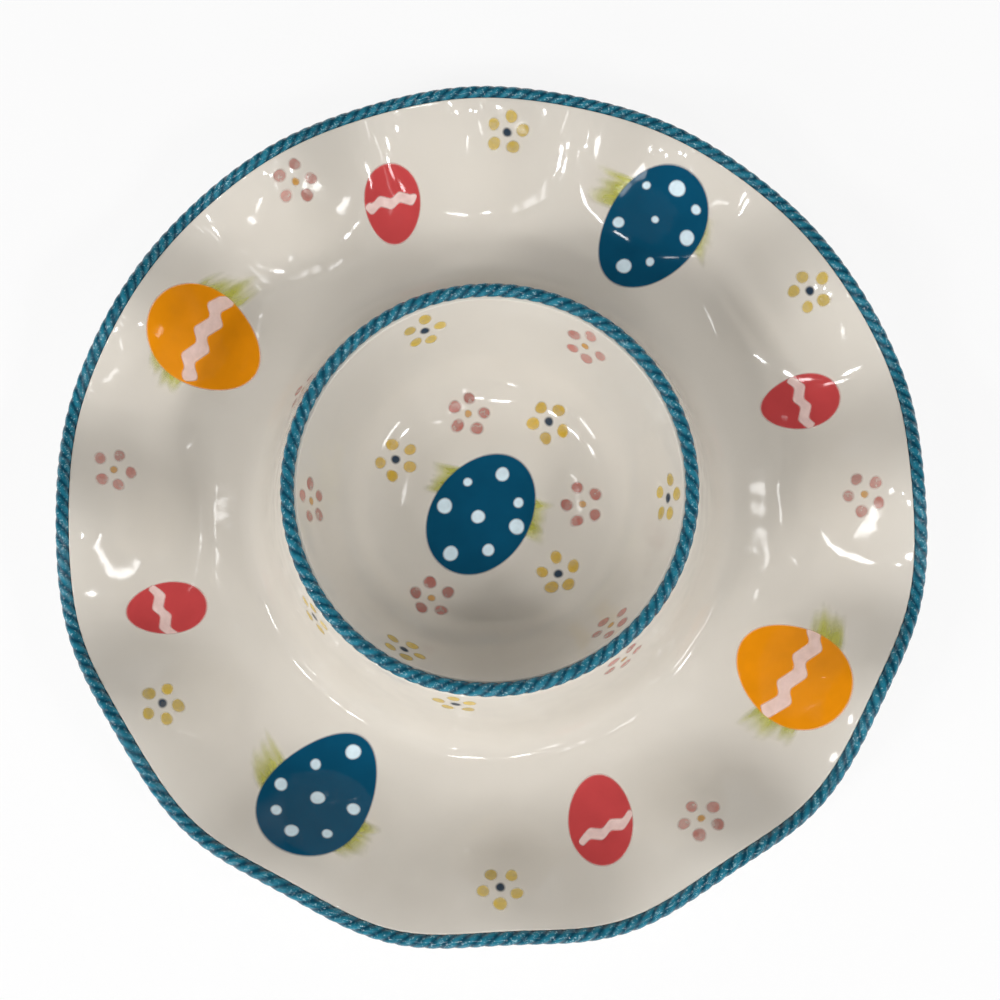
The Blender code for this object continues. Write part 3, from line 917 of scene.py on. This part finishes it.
class PLATTER_OT_blue_eggs(bpy.types.Operator):
    """Paint the blue eggs with their dots, on the platter and on the bowl's floor"""

    bl_idname = "platter.blue_eggs"
    bl_label = "Blue Eggs"

    def execute(self, context):
        colours = context.scene.platter_colours
        paints = [
            underglaze("blue", colours.blue, spread=0.22, wash=1.0, grain=0.012),
            underglaze("pale blue", colours.dot, spread=0.08, wash=0.9, grain=0.004),
        ]
        platter, bowl = Paint(PLATTER_TOP), Paint(BOWL_TOP)
        eggs = [(platter, on_platter(egg), egg) for egg in BLUE_EGGS]
        eggs.append((bowl, on_bowl_floor(BOWL_EGG), BOWL_EGG))
        for (paint, walk, egg), dots in zip(eggs, DOTS):
            paint.blob(walk, (0, 0), egg_outline(*egg_shape(egg)), MAIN_SLOT, EGG_LAYER)
            for x, y, radius in dots:
                outline = circle(x * MM, y * MM, radius * MM, 0.03, x)
                paint.blob(walk, (x * MM, y * MM), outline, MARK_SLOT, MARK_LAYER, step=0.0015)
        platter.make("platter_blue_eggs", paints)
        bowl.make("bowl_blue_egg", paints)
        return {"FINISHED"}


class PLATTER_OT_banded_eggs(bpy.types.Operator):
    """Paint the orange and the red eggs with their wavy bands"""

    bl_idname = "platter.banded_eggs"
    bl_label = "Banded Eggs"

    def execute(self, context):
        sizes, colours = context.scene.platter_sizes, context.scene.platter_colours
        band = underglaze("pale pink", colours.band, spread=0.1, wash=0.85, grain=0.004)
        for name, eggs, bands, colour, width, zigzag in (
            ("orange", ORANGE_EGGS, ORANGE_BANDS, colours.orange, sizes.wide_band, ORANGE_ZIGZAG),
            ("red", RED_EGGS, RED_BANDS, colours.red, sizes.narrow_band, RED_ZIGZAG),
        ):
            paint = Paint(PLATTER_TOP)
            for egg, line in zip(eggs, bands):
                walk, shape = on_platter(egg), egg_shape(egg)
                paint.blob(walk, (0, 0), egg_outline(*shape), MAIN_SLOT, EGG_LAYER)
                egg_band(paint, walk, shape, line, width, *zigzag)
            coat = underglaze(name, colour, spread=0.2, wash=1.0, grain=0.012)
            paint.make("platter_" + name + "_eggs", [coat, band])
        return {"FINISHED"}


class PLATTER_OT_grass(bpy.types.Operator):
    """Paint the brushed grass at the large eggs"""

    bl_idname = "platter.grass"
    bl_label = "Grass"

    def execute(self, context):
        colours = context.scene.platter_colours
        green = underglaze("grass green", colours.grass, spread=0.3, wash=0.75, grain=0.006)
        brush = np.random.default_rng(GRASS_SEED)
        platter, bowl = Paint(PLATTER_TOP), Paint(BOWL_TOP)
        eggs = [(platter, on_platter(egg)) for egg in BLUE_EGGS + ORANGE_EGGS]
        eggs.append((bowl, on_bowl_floor(BOWL_EGG)))
        for (paint, walk), tufts in zip(eggs, GRASS):
            for tuft in tufts:
                grass_tuft(paint, walk, tuft, brush)
        platter.make("platter_grass", [green])
        bowl.make("bowl_grass", [green])
        return {"FINISHED"}


class PLATTER_OT_flowers(bpy.types.Operator):
    """Paint the small flowers on platter, collar and bowl"""

    bl_idname = "platter.flowers"
    bl_label = "Flowers"

    def execute(self, context):
        sizes, colours = context.scene.platter_sizes, context.scene.platter_colours
        yellow = [
            underglaze("yellow", colours.yellow, spread=0.25, wash=0.7, grain=0.004),
            underglaze("navy", colours.navy, spread=0.1, wash=0.9, grain=0.003),
            underglaze("deep yellow", colours.yellow_deep, spread=0.25, wash=0.7, grain=0.004),
        ]
        pink = [
            underglaze("pink", colours.pink, spread=0.25, wash=0.5, grain=0.004),
            underglaze("ochre", colours.ochre, spread=0.2, wash=0.7, grain=0.003),
            underglaze("deep pink", colours.pink_deep, spread=0.25, wash=0.5, grain=0.004),
        ]
        brush = np.random.default_rng(FLOWER_SEED)
        for name, paints, centre, (on_wall, on_collar, in_bowl) in (
            ("yellow_flowers", yellow, sizes.navy_centre, YELLOW_FLOWERS),
            ("pink_flowers", pink, sizes.ochre_centre, PINK_FLOWERS),
        ):
            platter, bowl = Paint(PLATTER_TOP), Paint(BOWL_TOP)
            for paint, start, flowers in (
                (platter, COLLAR_LENGTH, on_wall), (platter, 0, on_collar), (bowl, 0, in_bowl)
            ):
                for angle, distance, turn in flowers:
                    walk = paint.surface.spot(math.radians(angle), start + distance * MM)
                    deep = paint is bowl and distance < BOWL_FLOOR_END
                    slot = DEEP_SLOT if deep else MAIN_SLOT
                    flower(paint, turned_by(walk, turn), centre, brush, slot)
            platter.make("platter_" + name, paints[:DEEP_SLOT])
            bowl.make("bowl_" + name, paints)
        return {"FINISHED"}


def add_lamp(name, full_power, azimuth, elevation, width, height, share):
    """A rectangular lamp that looks at the dish from an angle round it and one above it."""
    turn, rise = math.radians(azimuth), math.radians(elevation)
    away = Vector(round_axis(math.cos(rise), math.sin(rise), turn))
    light = bpy.data.lights.new(name, "AREA")
    light.shape = "RECTANGLE"
    light.size, light.size_y = width, height
    light.energy = share * full_power
    obj = new_object(name, light)
    obj.location = LAMP_AIM + LAMP_DISTANCE * away
    obj.rotation_euler = away.to_track_quat("Z", "Y").to_euler()
    return obj


def add_floor(stage):
    rim = round_axis(FLOOR_RADIUS, np.zeros(FLOOR_STEPS), full_turn(FLOOR_STEPS))
    mesh = bpy.data.meshes.new("floor")
    mesh.from_pydata(rim, [], [list(range(FLOOR_STEPS))])
    mesh.materials.append(matt_paper(stage))
    floor = new_object("floor", mesh)


def add_surroundings(scene, stage):
    """A room that is white to the camera, and to the dish white at the horizon and dim above it."""
    world = bpy.data.worlds.new("surroundings")
    world.use_nodes = True
    tree = world.node_tree
    tree.nodes.clear()
    place = add_node(tree, "TexCoord").outputs["Generated"]
    height = add_node(tree, "SeparateXYZ", {0: place}).outputs["Z"]
    glow = {"Value": height, "From Min": 0.12, "From Max": 0.3, "To Min": 1.0, "To Max": stage.sky}
    level = add_node(tree, "MapRange", glow)
    seen = add_node(tree, "LightPath").outputs["Is Camera Ray"]
    strength = add_node(tree, "Math", {0: level, 1: seen}, operation="MAXIMUM")
    light = add_node(tree, "Background", {"Color": (1, 1, 1, 1), "Strength": strength})
    add_node(tree, "OutputWorld", {"Surface": light})
    scene.world = world


def add_camera(scene, stage):
    camera = bpy.data.cameras.new("camera")
    camera.lens = stage.camera_lens
    camera.sensor_width = 36
    camera.clip_start, camera.clip_end = 0.01, 30
    obj = new_object("camera", camera)
    back = (Vector(stage.camera_place) - Vector(stage.camera_aim)).normalized()
    right = Vector((0, 1, 0)).cross(back).normalized()
    axes = Matrix((right, back.cross(right), back)).transposed().to_4x4()
    obj.matrix_world = Matrix.Translation(stage.camera_place) @ axes
    scene.camera = obj


class PLATTER_OT_stage(bpy.types.Operator):
    """Set up the floor, the lights, the white surroundings and the camera"""

    bl_idname = "platter.stage"
    bl_label = "Stage"

    def execute(self, context):
        scene, stage = context.scene, context.scene.platter_stage
        add_floor(stage)
        add_surroundings(scene, stage)
        for number, settings in enumerate(LAMPS):
            add_lamp(f"lamp_{number}", stage.lamp_power, *settings)
        for number, (*angles, share) in enumerate(SOFT_LIGHTS):
            soft = add_lamp(f"soft_light_{number}", stage.lamp_power, *angles, *SOFT_LIGHT_SIZE, share)
            soft.visible_glossy = False
        add_camera(scene, stage)
        scene.view_settings.view_transform = "Standard"
        return {"FINISHED"}


OPERATORS = (
    PLATTER_OT_platter_body,
    PLATTER_OT_dip_bowl,
    PLATTER_OT_rope_rims,
    PLATTER_OT_blue_eggs,
    PLATTER_OT_banded_eggs,
    PLATTER_OT_grass,
    PLATTER_OT_flowers,
    PLATTER_OT_stage,
)


class PLATTER_PT_looks(bpy.types.Panel):
    """Lists the platter's sizes and colours and the operators that make it"""

    bl_idname = "PLATTER_PT_looks"
    bl_label = "Chip and Dip Platter"
    bl_space_type = "VIEW_3D"
    bl_region_type = "UI"
    bl_category = "Platter"

    def draw(self, context):
        scene = context.scene
        for group in (scene.platter_sizes, scene.platter_colours, scene.platter_stage):
            box = self.layout.box()
            for name in group.__annotations__:
                box.prop(group, name)
        for operator in OPERATORS:
            self.layout.operator(operator.bl_idname)


CLASSES = (PlatterSizes, PlatterColours, StageSettings, *OPERATORS, PLATTER_PT_looks)


def register():
    for cls in CLASSES:
        bpy.utils.register_class(cls)
    bpy.types.Scene.platter_sizes = PointerProperty(type=PlatterSizes)
    bpy.types.Scene.platter_colours = PointerProperty(type=PlatterColours)
    bpy.types.Scene.platter_stage = PointerProperty(type=StageSettings)


def unregister():
    del bpy.types.Scene.platter_stage
    del bpy.types.Scene.platter_colours
    del bpy.types.Scene.platter_sizes
    for cls in reversed(CLASSES):
        bpy.utils.unregister_class(cls)


def main():
    register()
    for operator in OPERATORS:
        group, name = operator.bl_idname.split(".")
        getattr(getattr(bpy.ops, group), name)()


if __name__ == "__main__":
    main()
